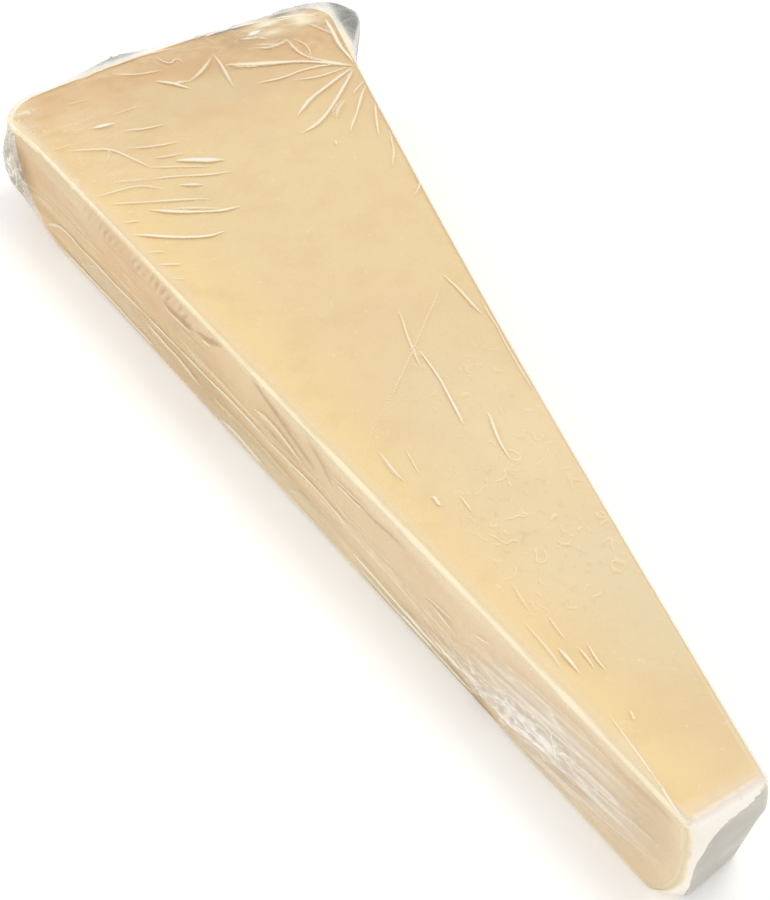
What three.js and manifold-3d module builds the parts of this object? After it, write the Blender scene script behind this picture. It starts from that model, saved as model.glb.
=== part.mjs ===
// A wedge of hard cheese, lying on one of its two broad faces and wrapped tightly in clear film.
// The solid is the outer form of the film. Millimetres, +Z up. The cut-off tip is the +X end, the
// rind is the -X end, and the long near side faces -Y.
import * as THREE from 'three';
import { mergeVertices } from 'three/addons/utils/BufferGeometryUtils.js';
import Module from 'manifold-3d';

const wasm = await Module();
wasm.setup();

// Driving dimensions, in millimetres and degrees
const WHEEL_RADIUS = 208; // from the centre of the whole cheese to its rind
const TIP_CUT_RADIUS = 38; // from the centre of the whole cheese to the cut-off tip
const SECTOR_ANGLE = 16.6; // between the two long cut sides
const THICKNESS = 18.7; // between the two broad faces, over the film
const RIND_SKEW = 4.5; // turn of the rind end, which sets its near corner back
const FAR_SIDE_HOLLOW = 1.1; // depth to which the far side bows inward
const TOP_EDGE_RADIUS = 1;
const BOTTOM_EDGE_RADIUS = 1;
const TIP_SOFTENING = 0.4; // share by which those two radii grow at the tip
const TIP_SOFTENING_REACH = 14;
const NEAR_RIND_CORNER_RADIUS = 7; // seen from above
const FAR_RIND_CORNER_RADIUS = 6;
const TIP_CORNER_RADIUS = 1.6;

// The rind end's upright profile: leaning out from the top edge, rounded under below
const RIND_TOP_SET_BACK = 1;
const RIND_BULGE_HEIGHT = 10;
const RIND_UNDER_HEIGHT = 12;
const RIND_UNDER_DEPTH = 15;

// The tip's end: its near corner stands out, it has a soft shoulder above, and its face leans in
// below, most of all at the foot of the near corner
const TIP_SKEW = 1.4;
const TIP_SHOULDER = 1;
const TIP_SHOULDER_HEIGHT = 4;
const TIP_UNDERCUT_NEAR = 2.4;
const TIP_UNDERCUT_FAR = 4.2;
const TIP_CORNER_UNDERCUT = 3.4;
const TIP_CORNER_UNDERCUT_START = 0.4; // as a share of the half width

// How finely the form is cut
const SIDE_STEPS = 44;
const RIND_STEPS = 26;
const TIP_STEPS = 10;
const CORNER_STEPS = 6;
const EDGE_STEPS = 3;
const WALL_LEVELS = [2.2, 3.6, 5.2, 7, 9, 11.6, 14.2, 16.4];

const LENGTH = WHEEL_RADIUS - TIP_CUT_RADIUS;
const HALF_ANGLE = THREE.MathUtils.degToRad(SECTOR_ANGLE / 2);
const SKEW_SLOPE = Math.tan(THREE.MathUtils.degToRad(RIND_SKEW));

// Places on the wedge are given as u, the distance from the tip towards the rind, and v, the
// distance from the middle line towards the near side.
function halfWidth(u) {
  return (u + TIP_CUT_RADIUS) * Math.tan(HALF_ANGLE);
}

function gauss(distance, width) {
  return Math.exp(-((distance / width) ** 2));
}

// Setting back of the rind end at height z
function rindSetBack(z) {
  const under = Math.max(0, 1 - z / RIND_UNDER_HEIGHT);
  const rounded = RIND_UNDER_DEPTH * (1 - Math.sqrt(1 - under ** 2));
  const above = Math.max(0, (z - RIND_BULGE_HEIGHT) / (THICKNESS - RIND_BULGE_HEIGHT));
  return rounded + RIND_TOP_SET_BACK * above ** 2;
}

// Setting back of the tip at height z, across from -1 on the far side to 1 on the near side
function tipSetBack(z, across) {
  const shoulder = Math.max(0, z - (THICKNESS - TIP_SHOULDER_HEIGHT)) / TIP_SHOULDER_HEIGHT;
  const below = Math.max(0, 1 - z / (THICKNESS - TIP_SHOULDER_HEIGHT));
  const nearness = (across + 1) / 2;
  const [far, near] = [TIP_UNDERCUT_FAR * below ** 0.9, TIP_UNDERCUT_NEAR * below ** 2.5];
  const byCorner = THREE.MathUtils.smoothstep(across, TIP_CORNER_UNDERCUT_START, 1);
  const undercut = THREE.MathUtils.lerp(far, near, nearness) + TIP_CORNER_UNDERCUT * byCorner * below ** 3.8;
  return TIP_SHOULDER * shoulder ** 3 + undercut - TIP_SKEW * nearness;
}

function rindLine(v) {
  return Math.sqrt(WHEEL_RADIUS ** 2 - v ** 2) - TIP_CUT_RADIUS - SKEW_SLOPE * v;
}

// Loose film standing off the cheese, with its stand-off at the top, at mid-height and below. The
// first is the ear at the far rind corner, the second the ear at the near rind corner, and
// the third the slack lip along the near half of the rind's top edge.
const LOOSE_FILM = [
  { u: 162, v: -32, width: 7, top: 5, middle: 3.6, bottom: 1.2 },
  { u: 162, v: 28, width: 6.5, top: 0.8, middle: 2.4, bottom: 0 },
  { u: 169, v: 8, width: 7, top: 2.2, middle: 0.5, bottom: 0.2 },
];

function looseFilm(u, v, z) {
  const height = z / THICKNESS;
  let total = 0;
  for (const { u: u0, v: v0, width, top, middle, bottom } of LOOSE_FILM) {
    const upper = THREE.MathUtils.lerp(middle, top, THREE.MathUtils.smoothstep(height, 0.5, 0.95));
    const amount = THREE.MathUtils.lerp(bottom, upper, THREE.MathUtils.smoothstep(height, 0, 0.45));
    total += amount * gauss(Math.hypot(u - u0, v - v0), width);
  }
  return total;
}

// The plan outline as points of a rounded rectangle: along runs from 0 at the tip to 1 at the
// rind, across from -1 on the far side to 1 on the near side, with the outward direction.
function referenceOutline() {
  const corners = [
    { along: 1, across: 1, radius: NEAR_RIND_CORNER_RADIUS, width: halfWidth(LENGTH), steps: RIND_STEPS },
    { along: 1, across: -1, radius: FAR_RIND_CORNER_RADIUS, width: halfWidth(LENGTH), steps: SIDE_STEPS },
    { along: 0, across: -1, radius: TIP_CORNER_RADIUS, width: halfWidth(0), steps: TIP_STEPS },
    { along: 0, across: 1, radius: TIP_CORNER_RADIUS, width: halfWidth(0), steps: SIDE_STEPS },
  ];
  const arcs = corners.map(({ along, across, radius, width }, index) => {
    const points = [];
    for (let step = 0; step <= CORNER_STEPS; step += 1) {
      const angle = (Math.PI / 2) * (1 - index - step / CORNER_STEPS);
      const out = [Math.cos(angle), Math.sin(angle)];
      points.push({
        along: along + (radius / LENGTH) * (out[0] - (along === 1 ? 1 : -1)),
        across: across + (radius / width) * (out[1] - across),
        out,
      });
    }
    return points;
  });
  const outline = [];
  arcs.forEach((arc, index) => {
    const from = arc[CORNER_STEPS];
    const to = arcs[(index + 1) % arcs.length][0];
    const { steps } = corners[index];
    outline.push(...arc);
    for (let step = 1; step < steps; step += 1) {
      outline.push({
        along: THREE.MathUtils.lerp(from.along, to.along, step / steps),
        across: THREE.MathUtils.lerp(from.across, to.across, step / steps),
        out: from.out,
      });
    }
  });
  return outline;
}

function farSideHollow(along) {
  return FAR_SIDE_HOLLOW * Math.sin(Math.PI * along);
}

// The outline at height z, drawn in by inset where the edges are rounded
function outlineAt(reference, z, inset) {
  return reference.map(({ along, across, out }) => {
    const tip = tipSetBack(z, across);
    const roughV = across * halfWidth(along * LENGTH);
    const rind = rindLine(roughV) - rindSetBack(z);
    const u = tip + along * (rind - tip);
    const hollow = across < 0 ? farSideHollow(along) * across ** 2 : 0;
    const v = across * halfWidth(u) + hollow;
    const softer = 1 + TIP_SOFTENING * gauss(u, TIP_SOFTENING_REACH);
    const offset = looseFilm(u, v, z) - inset * softer;
    return new THREE.Vector2(u + out[0] * offset, v + out[1] * offset);
  });
}

// Heights of the outlines from the underside to the top, each with its inset
function levels() {
  const list = [];
  for (let step = 0; step <= EDGE_STEPS; step += 1) {
    const angle = (Math.PI / 2) * (step / EDGE_STEPS);
    list.push({
      z: BOTTOM_EDGE_RADIUS * (1 - Math.cos(angle)),
      inset: BOTTOM_EDGE_RADIUS * (1 - Math.sin(angle)),
    });
  }
  WALL_LEVELS.forEach((z) => list.push({ z, inset: 0 }));
  for (let step = 0; step <= EDGE_STEPS; step += 1) {
    const angle = (Math.PI / 2) * (step / EDGE_STEPS);
    list.push({
      z: THICKNESS - TOP_EDGE_RADIUS * (1 - Math.sin(angle)),
      inset: TOP_EDGE_RADIUS * (1 - Math.cos(angle)),
    });
  }
  return list;
}

function toPart(u, v, z) {
  return new THREE.Vector3(-u, -v, z);
}

function geometryFrom(positions, faces) {
  const geometry = new THREE.BufferGeometry();
  geometry.setAttribute('position', new THREE.Float32BufferAttribute(positions.flatMap((p) => p.toArray()), 3));
  geometry.setIndex(faces.flat());
  return geometry;
}

// The wedge's body: outlines joined level by level and closed above and below
function bodyGeometry() {
  const reference = referenceOutline();
  const rings = levels().map(({ z, inset }) => ({ z, outline: outlineAt(reference, z, inset) }));
  const count = reference.length;
  const positions = rings.flatMap(({ z, outline }) => outline.map((p) => toPart(p.x, p.y, z)));
  const faces = [];
  for (let ring = 0; ring < rings.length - 1; ring += 1) {
    for (let i = 0; i < count; i += 1) {
      const next = (i + 1) % count;
      const [a, b] = [ring * count + i, ring * count + next];
      faces.push([a, a + count, b + count], [a, b + count, b]);
    }
  }
  const top = (rings.length - 1) * count;
  for (const [a, b, c] of THREE.ShapeUtils.triangulateShape(rings[0].outline, [])) {
    faces.push([a, c, b]);
  }
  for (const [a, b, c] of THREE.ShapeUtils.triangulateShape(rings[rings.length - 1].outline, [])) {
    faces.push([top + a, top + b, top + c]);
  }
  return geometryFrom(positions, faces);
}

// A crease in the film: a low ridge that tapers to nothing at both ends. place turns a point of
// the face, with a height over it, into a point of the part.
const CREASE_STEPS = 4;
const CREASE_SUNK = 0.25;

function creaseGeometry({ from, to, bow = 0, width = 0.9, height = 0.35 }, place) {
  const start = new THREE.Vector2(...from);
  const end = new THREE.Vector2(...to);
  const side = new THREE.Vector2(start.y - end.y, end.x - start.x).normalize();
  const positions = [place(start, -CREASE_SUNK)];
  for (let step = 1; step < CREASE_STEPS; step += 1) {
    const share = step / CREASE_STEPS;
    const swell = Math.sin(Math.PI * share);
    const middle = start.clone().lerp(end, share).addScaledVector(side, bow * swell);
    const reach = (width / 2) * Math.sqrt(swell);
    positions.push(
      place(middle.clone().addScaledVector(side, reach), -CREASE_SUNK),
      place(middle, height * swell),
      place(middle.clone().addScaledVector(side, -reach), -CREASE_SUNK),
    );
  }
  positions.push(place(end, -CREASE_SUNK));
  const last = positions.length - 1;
  const faces = [];
  for (let edge = 0; edge < 3; edge += 1) {
    const next = (edge + 1) % 3;
    faces.push([0, 1 + next, 1 + edge], [last, last - 3 + edge, last - 3 + next]);
    for (let step = 0; step < CREASE_STEPS - 2; step += 1) {
      const a = 1 + step * 3;
      faces.push([a + edge, a + next, a + 3 + next], [a + edge, a + 3 + next, a + 3 + edge]);
    }
  }
  return geometryFrom(positions, faces);
}

// Creases that run across the top from its near edge, close to the rind
const NEAR_FAN = [
  { from: [149, 14.5], to: [147, 7.5] },
  { from: [151.7, 18], to: [151.3, 14.5], width: 1.2 },
  { from: [144.5, 15.5], to: [142, 7], bow: -0.6 },
  { from: [148, 24], to: [138, 13.5], bow: -0.5 },
  { from: [138.3, 13.8], to: [133.5, 5.5], bow: 0.4 },
  { from: [139.8, 12.5], to: [138.8, 7.5] },
  { from: [137.5, 9.5], to: [134, 2], width: 1.4, height: 0.45 },
  { from: [138, 22], to: [134, 14] },
  { from: [134.5, 12.5], to: [131, 2.5], bow: -0.5 },
  { from: [135, 20.5], to: [131.5, 13.5], bow: 1 },
  { from: [131, 11.5], to: [129.8, 8] },
  { from: [132, 21], to: [125.5, 8], bow: 0.7 },
  { from: [128, 17.5], to: [122, 5], bow: -1, width: 1.1, height: 0.45 },
  { from: [124.2, 21.5], to: [117.5, 9.5], bow: -1, width: 1.1, height: 0.45 },
  { from: [118.5, 21.3], to: [117, 17.5] },
  { from: [115, 20.8], to: [113.3, 17] },
  { from: [110.8, 20], to: [109.5, 17.8] },
];

// Creases that fan out over the top from the ear at the far rind corner
const FAR_FAN_CENTRE = [149, -25.2];
const FAR_FAN = [
  { angle: 59, length: 19.5, width: 1.5, height: 0.5 },
  { angle: 33, length: 12.5, bow: 0.8, width: 1 },
  { angle: 83, length: 15, bow: 0.6 },
  { angle: 91, length: 9.5, bow: -0.6 },
  { angle: 122, length: 15, bow: 0.5, width: 1.1 },
  { angle: 133, length: 20.5, bow: -0.9, width: 1.1 },
  { angle: 157, length: 10, start: 8 },
  { angle: 170, length: 9, start: 12 },
];

function farFan({ angle, length, start = 0.5, ...rest }) {
  const direction = [Math.cos(THREE.MathUtils.degToRad(angle)), Math.sin(THREE.MathUtils.degToRad(angle))];
  const at = (distance) => FAR_FAN_CENTRE.map((centre, axis) => centre + distance * direction[axis]);
  return { from: at(start), to: at(start + length), ...rest };
}

// The zigzag crease near the rind, and the single creases further down the top
const SINGLE_CREASES = [
  { from: [159.5, 4.6], to: [154.5, -0.5], width: 1.3 },
  { from: [156.8, 1.2], to: [161.6, -6.2], width: 1.3, height: 0.45 },
  { from: [161.8, -6], to: [151.5, -6], width: 1.2 },
  { from: [89.5, -4.6], to: [78, -2.6], bow: 0.4 },
  { from: [80.4, -3.9], to: [65, -2], bow: -0.3, width: 1.1, height: 0.45 },
  { from: [94, -13.4], to: [85.4, -14.2], width: 1.1 },
  { from: [66, -6], to: [57, -4.5], bow: 0.3 },
  { from: [66, 10.2], to: [60, 9.2] },
  { from: [65, 6.6], to: [60, 7.2] },
  { from: [27.2, 5.5], to: [23, 5.1] },
  { from: [26, 3.6], to: [22.6, 3.3] },
];

function onTop(point, height) {
  return toPart(point.x, point.y, THICKNESS + height);
}

// Folds that run along the near side, given by height and distance from the tip
const NEAR_SIDE_FOLDS = [
  { from: [1.1, 151], to: [1.1, 128], width: 1.6, height: 0.9 },
  { from: [3.8, 146], to: [6, 112], bow: -0.4, width: 1.8, height: 0.7 },
  { from: [5.7, 117], to: [7.8, 78], width: 1.6, height: 0.6 },
  { from: [7.8, 84], to: [5.4, 45], bow: 0.5, width: 1.4, height: 0.5 },
  { from: [14.2, 104], to: [12.6, 76], bow: 3, width: 1.6, height: 0.45 },
  { from: [15.8, 80], to: [13.8, 58], bow: -1, width: 1.4, height: 0.4 },
  { from: [1.1, 88], to: [1.1, 14], width: 1.6, height: 0.8 },
  { from: [9.8, 48.5], to: [9.6, 40.5], width: 1.4 },
  { from: [3.4, 42], to: [6.6, 16], bow: -0.4, width: 2, height: 0.6 },
  { from: [8.2, 34], to: [9.6, 12], width: 1.5, height: 0.5 },
];

function onNearSide(point, height) {
  const [z, u] = point.toArray();
  return toPart(u - Math.sin(HALF_ANGLE) * height, halfWidth(u) + Math.cos(HALF_ANGLE) * height, z);
}

// Folds that run along the far side, given by distance from the tip and height
const FAR_SIDE_FOLDS = [
  { from: [147, 4.6], to: [108, 6.4], bow: 0.6, width: 1.7, height: 0.6 },
  { from: [116, 6.2], to: [66, 5.2], bow: -0.5, width: 1.5, height: 0.5 },
  { from: [148, 15.2], to: [124, 12.4], bow: 0.5, width: 1.3, height: 0.5 },
  { from: [92, 14.6], to: [58, 13.8], bow: 0.6, width: 1.4, height: 0.4 },
  { from: [60, 10.8], to: [30, 11.4], width: 1.4, height: 0.4 },
  { from: [40, 4.2], to: [10, 5.4], bow: 0.5, width: 1.4, height: 0.5 },
];

function onFarSide(point, height) {
  const [u, z] = point.toArray();
  const v = farSideHollow(u / LENGTH) - halfWidth(u);
  return toPart(u - Math.sin(HALF_ANGLE) * height, v - Math.cos(HALF_ANGLE) * height, z);
}

// Folds of the film over the rind end, given by distance from the middle line and height: the
// two long ones close the end like a parcel's flaps
const RIND_FOLDS = [
  { from: [22, 16.4], to: [3, 9.6], bow: 0.8, width: 1.8, height: 0.7 },
  { from: [-21, 16.6], to: [-2, 8.8], bow: -0.8, width: 1.8, height: 0.7 },
  { from: [20, 7.2], to: [6, 9.4], bow: -0.5, width: 1.5, height: 0.5 },
  { from: [-20, 6.4], to: [-5, 8.4], bow: 0.5, width: 1.5, height: 0.5 },
  { from: [4, 10.6], to: [-7, 10], width: 1.4, height: 0.5 },
  { from: [13, 16.8], to: [11.4, 12.6], width: 1.3, height: 0.4 },
  { from: [-11, 16.8], to: [-9.8, 12.8], width: 1.3, height: 0.4 },
];

function onRind(point, height) {
  const [v, z] = point.toArray();
  const u = rindLine(v) - rindSetBack(z);
  return toPart(u + looseFilm(u, v, z) + height, v, z);
}

function toManifold(geometry) {
  const merged = mergeVertices(geometry, 1e-5);
  return new wasm.Manifold(new wasm.Mesh({
    numProp: 3,
    vertProperties: new Float32Array(merged.attributes.position.array),
    triVerts: new Uint32Array(merged.index.array),
  }));
}

function fromManifold(solid) {
  const { vertProperties, triVerts } = solid.getMesh();
  const geometry = new THREE.BufferGeometry();
  geometry.setAttribute('position', new THREE.BufferAttribute(new Float32Array(vertProperties), 3));
  geometry.setIndex(new THREE.BufferAttribute(new Uint32Array(triVerts), 1));
  return geometry;
}

// The whole wrapped wedge, moved so that its box stands centred on the origin
function wrappedWedgeGeometry() {
  const creased = [
    { creases: [...NEAR_FAN, ...FAR_FAN.map(farFan), ...SINGLE_CREASES], place: onTop },
    { creases: NEAR_SIDE_FOLDS, place: onNearSide },
    { creases: FAR_SIDE_FOLDS, place: onFarSide },
    { creases: RIND_FOLDS, place: onRind },
  ];
  let solid = toManifold(bodyGeometry());
  for (const { creases, place } of creased) {
    for (const crease of creases) {
      solid = solid.add(toManifold(creaseGeometry(crease, place)));
    }
  }
  const geometry = fromManifold(solid);
  geometry.computeBoundingBox();
  const centre = geometry.boundingBox.getCenter(new THREE.Vector3());
  geometry.translate(-centre.x, -centre.y, -geometry.boundingBox.min.z);
  return geometry;
}

const wedgeMaterial = new THREE.MeshStandardMaterial({ color: 0xecd6a5, roughness: 0.35, metalness: 0 });
const wrappedWedge = new THREE.Mesh(wrappedWedgeGeometry(), wedgeMaterial);
wrappedWedge.name = 'wrapped_wedge';

const group = new THREE.Group();
group.add(wrappedWedge);

export default group;
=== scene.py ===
import itertools
import math

import bpy
import numpy as np
from mathutils import Matrix, Vector


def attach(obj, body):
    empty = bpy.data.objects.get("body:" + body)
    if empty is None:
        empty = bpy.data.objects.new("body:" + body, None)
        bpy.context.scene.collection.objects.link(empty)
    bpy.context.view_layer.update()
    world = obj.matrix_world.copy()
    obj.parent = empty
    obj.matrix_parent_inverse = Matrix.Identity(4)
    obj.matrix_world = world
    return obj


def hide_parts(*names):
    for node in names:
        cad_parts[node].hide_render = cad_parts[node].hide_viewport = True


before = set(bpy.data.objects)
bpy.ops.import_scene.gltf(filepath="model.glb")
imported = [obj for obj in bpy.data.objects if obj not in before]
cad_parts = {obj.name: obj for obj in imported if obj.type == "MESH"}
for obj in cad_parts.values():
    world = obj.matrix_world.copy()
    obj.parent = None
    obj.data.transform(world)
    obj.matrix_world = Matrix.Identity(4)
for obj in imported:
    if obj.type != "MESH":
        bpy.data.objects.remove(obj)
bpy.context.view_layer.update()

MM = 0.001

# Driving dimensions of the wedge, in millimetres and degrees, as in the CAD source
WHEEL_RADIUS = 208
TIP_CUT_RADIUS = 38
SECTOR_ANGLE = 16.6
THICKNESS = 18.7
RIND_SKEW = 4.5
FAR_SIDE_HOLLOW = 1.1
TIP_SOFTENING = 0.4
TIP_SOFTENING_REACH = 14
NEAR_RIND_CORNER_RADIUS = 7
FAR_RIND_CORNER_RADIUS = 6
TIP_CORNER_RADIUS = 1.6
RIND_TOP_SET_BACK = 1
RIND_BULGE_HEIGHT = 10
RIND_UNDER_HEIGHT = 12
RIND_UNDER_DEPTH = 15
TIP_SKEW = 1.4
TIP_SHOULDER = 1
TIP_SHOULDER_HEIGHT = 4
TIP_UNDERCUT_NEAR = 2.4
TIP_UNDERCUT_FAR = 4.2
TIP_CORNER_UNDERCUT = 3.4
TIP_CORNER_UNDERCUT_START = 0.4
LOOSE_FILM = [
    {"u": 162, "v": -32, "width": 7, "top": 5, "middle": 3.6, "bottom": 1.2},
    {"u": 162, "v": 28, "width": 6.5, "top": 0.8, "middle": 2.4, "bottom": 0},
    {"u": 169, "v": 8, "width": 7, "top": 2.2, "middle": 0.5, "bottom": 0.2},
]

LENGTH = WHEEL_RADIUS - TIP_CUT_RADIUS
HALF_SLOPE = math.tan(math.radians(SECTOR_ANGLE / 2))
SKEW_SLOPE = math.tan(math.radians(RIND_SKEW))

# Where the CAD puts the tip of the middle line: places on the wedge are given as u, the distance
# from the tip towards the rind, and v, the distance from the middle line towards the near side
TIP_X = 85.035
MIDDLE_Y = -1.307

# The cheese lies this far inside the film
FILM_GAP = 0.2
FILM_EDGE_RADIUS = 1
CHEESE_EDGE_RADIUS = 0.7
WELD_DISTANCE = 0.005
# How deep the fine relief of the materials goes
BUMP_DEPTH = 0.2
# The film's milkiness, with the highlights painted into it, at its whitest, where 1 hides what lies under
# it
MOST_MILK_AND_GLINT = 1.5


def at(*coordinates):
    """Points from their coordinates, or directions from their parts."""
    return np.stack(coordinates, axis=-1)


def to_part(u, v, z):
    return at(TIP_X - u, MIDDLE_Y - v, z) * MM


def half_width(u):
    return (u + TIP_CUT_RADIUS) * HALF_SLOPE


def gauss(distance, width):
    return np.exp(-((distance / width) ** 2))


def unit(x):
    return np.clip(x, 0, 1)


def smooth(x, low, high):
    """0 below low and 1 above high, with a soft passage between them."""
    share = unit((x - low) / (high - low))
    return share * share * (3 - 2 * share)


def blend(a, b, share):
    return a + (b - a) * share


def noise(points, seed):
    """Smooth noise between -1 and 1 at points given in units of its grain."""
    cell = np.floor(points).astype(np.int64)
    part = points - cell
    part = part * part * (3 - 2 * part)
    primes = (73856093, 19349663, 83492791)
    total = np.zeros(points.shape[:-1])
    for corner in itertools.product((0, 1), repeat=points.shape[-1]):
        weight = np.prod(np.where(corner, part, 1 - part), axis=-1)
        value = np.full(points.shape[:-1], seed * 668265263, np.int64)
        for axis, offset in enumerate(corner):
            value ^= (cell[..., axis] + offset) * primes[axis]
        value = (value ^ (value >> 13)) * 1274126177
        value = (value ^ (value >> 16)) & 0xFFFFFF
        total += weight * (value / 0x7FFFFF - 1)
    return total


def clouds(points, seed, layers=3):
    """The noise with ever finer layers added."""
    total = 0
    for layer in range(layers):
        total = total + noise(points * 2**layer, seed + layer) / 2**layer
    return total / 1.6


def ridges(points, seed, layers=2):
    """Sharp crests, from 0 between them to 1 along them."""
    return 1 - np.abs(clouds(points, seed, layers)) ** 0.6


def rind_line(v):
    """Where the rind's rim would stand on the wheel, which is cut a little askew."""
    return np.sqrt(WHEEL_RADIUS**2 - v**2) - TIP_CUT_RADIUS - SKEW_SLOPE * v


def rind_set_back(z):
    """How far the rind end, which bulges and is rounded under, draws back at a height."""
    under = unit(1 - z / RIND_UNDER_HEIGHT)
    rounded = RIND_UNDER_DEPTH * (1 - np.sqrt(1 - under**2))
    above = np.clip((z - RIND_BULGE_HEIGHT) / (THICKNESS - RIND_BULGE_HEIGHT), 0, None)
    return rounded + RIND_TOP_SET_BACK * above**2


def tip_set_back(z, across):
    """How far the leaning, undercut and skewed tip end draws back."""
    shoulder = np.clip(z - (THICKNESS - TIP_SHOULDER_HEIGHT), 0, None) / TIP_SHOULDER_HEIGHT
    below = np.clip(1 - z / (THICKNESS - TIP_SHOULDER_HEIGHT), 0, None)
    nearness = (across + 1) / 2
    undercut = blend(TIP_UNDERCUT_FAR * below**0.9, TIP_UNDERCUT_NEAR * below**2.5, nearness)
    by_corner = smooth(across, TIP_CORNER_UNDERCUT_START, 1)
    undercut = undercut + TIP_CORNER_UNDERCUT * by_corner * below**3.8
    return TIP_SHOULDER * shoulder**3 + undercut - TIP_SKEW * nearness


def loose_film(u, v, z):
    """How far the ears and the slack lip stand off the cheese."""
    height = z / THICKNESS
    total = 0
    for place in LOOSE_FILM:
        upper = blend(place["middle"], place["top"], smooth(height, 0.5, 0.95))
        amount = blend(place["bottom"], upper, smooth(height, 0, 0.45))
        total = total + amount * gauss(np.hypot(u - place["u"], v - place["v"]), place["width"])
    return total


# Each corner: the end it is at along and across the wedge, its radius and the half width there
CORNERS = {
    "near_rind": (1, 1, NEAR_RIND_CORNER_RADIUS, half_width(LENGTH)),
    "far_rind": (1, -1, FAR_RIND_CORNER_RADIUS, half_width(LENGTH)),
    "near_tip": (0, 1, TIP_CORNER_RADIUS, half_width(0)),
    "far_tip": (0, -1, TIP_CORNER_RADIUS, half_width(0)),
}
# Each side runs from the middle of one rounded corner to the middle of the next, with the
# directions that it faces at its start, along its straight and at its end
SIDES = {
    "near": ("near_tip", "near_rind", (135, 90, 45)),
    "far": ("far_tip", "far_rind", (-135, -90, -45)),
    "tip": ("far_tip", "near_tip", (225, 180, 135)),
    "rind": ("far_rind", "near_rind", (-45, 0, 45)),
}


def corner_point(corner, angle):
    end, across_end, radius, width = CORNERS[corner]
    out = at(np.cos(angle), np.sin(angle))
    along = end + radius / LENGTH * (out[..., 0] - (1 if end == 1 else -1))
    across = across_end + radius / width * (out[..., 1] - across_end)
    return along, across, out


def side_reference(side, shares):
    """Points of a side's plan outline at shares of its length: along, across and outward direction."""
    start, finish, degrees = SIDES[side]
    a0, a1, a2 = np.radians(degrees)
    start_radius, end_radius = CORNERS[start][2], CORNERS[finish][2]
    start_arc = start_radius * math.pi / 4
    end_arc = end_radius * math.pi / 4
    end_widths = {"tip": 2 * half_width(0), "rind": 2 * half_width(LENGTH)}
    straight = end_widths.get(side, LENGTH) - start_radius - end_radius
    total = start_arc + straight + end_arc
    place = shares * total
    in_start = unit(place / start_arc)
    in_straight = unit((place - start_arc) / straight)
    in_end = unit((place - start_arc - straight) / end_arc)
    first = corner_point(start, blend(a0, a1, in_start))
    last = corner_point(finish, blend(a1, a2, in_end))
    straight_end = corner_point(finish, a1)
    along, across = (
        np.where(in_end > 0, last[k], blend(first[k], straight_end[k], in_straight)) for k in (0, 1)
    )
    return along, across, np.where((in_end > 0)[..., None], last[2], first[2])


def place_outline(along, across, out, z, inset, gap):
    """The outline's points at height z: u, v. gap is how far the surface lies inside the film."""
    tip = tip_set_back(z, across)
    rough_v = across * half_width(along * LENGTH)
    rind = rind_line(rough_v) - rind_set_back(z)
    u = tip + along * (rind - tip)
    hollow = np.where(across < 0, FAR_SIDE_HOLLOW * np.sin(np.pi * along) * across**2, 0)
    v = across * half_width(u) + hollow
    softer = 1 + TIP_SOFTENING * gauss(u, TIP_SOFTENING_REACH)
    loose = loose_film(u, v, z) if gap == 0 else 0
    offset = loose - gap - inset * softer
    return u + out[..., 0] * offset, v + out[..., 1] * offset


class Form:
    """The wedge's surface as six joined patches, either the film's or that of the cheese in it."""

    def __init__(self, gap, edge_radius, along_shares, across_shares, wall_step, edge_steps):
        self.gap = gap
        self.shares = dict(zip(SIDES, (along_shares, along_shares, across_shares, across_shares)))
        low, high = gap, THICKNESS - gap
        angles = np.linspace(0, np.pi / 2, edge_steps + 1)
        wall = np.linspace(low + edge_radius, high - edge_radius, round((high - low) / wall_step))[1:-1]
        falling, rising = edge_radius * (1 - np.sin(angles)), edge_radius * (1 - np.cos(angles))
        self.heights = np.concatenate([low + rising, wall, high - falling])
        self.insets = np.concatenate([falling, wall * 0, rising])
        self.tilts = np.concatenate([angles - np.pi / 2, wall * 0, angles])

    def wall(self, side):
        """Grid of points (u, v, z) and normals of one side, rows going up."""
        along, across, out = side_reference(side, self.shares[side])
        z = self.heights[:, None] + 0 * along
        u, v = place_outline(along, across, out, z, self.insets[:, None], self.gap)
        level, rise = np.cos(self.tilts)[:, None], np.sin(self.tilts)[:, None]
        return at(u, v, z), at(out[:, 0] * level, out[:, 1] * level, rise + 0 * z)

    def face(self, upper):
        """Grid of points and normals of the top or the underside, spanned between the walls' rims."""
        row = -1 if upper else 0
        near, far, tip, rind = (self.wall(side)[0][row] for side in SIDES)
        a = self.shares["near"][:, None]
        b = self.shares["rind"][:, None, None]
        corners = blend(blend(far[0], near[0], b), blend(far[-1], near[-1], b), a)
        points = blend(far, near, b) + blend(tip[:, None], rind[:, None], a) - corners
        return points, np.zeros_like(points) + (UP if upper else DOWN)


def grid_faces(rows, columns, flip):
    index = np.arange(rows * columns).reshape(rows, columns)
    a, b, c, d = index[:-1, :-1], index[:-1, 1:], index[1:, 1:], index[1:, :-1]
    quads = at(a, b, c, d).reshape(-1, 4)
    return quads[:, ::-1] if flip else quads


def new_object(name, data):
    made = bpy.data.objects.new(name, data)
    bpy.context.scene.collection.objects.link(made)
    return made


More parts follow.
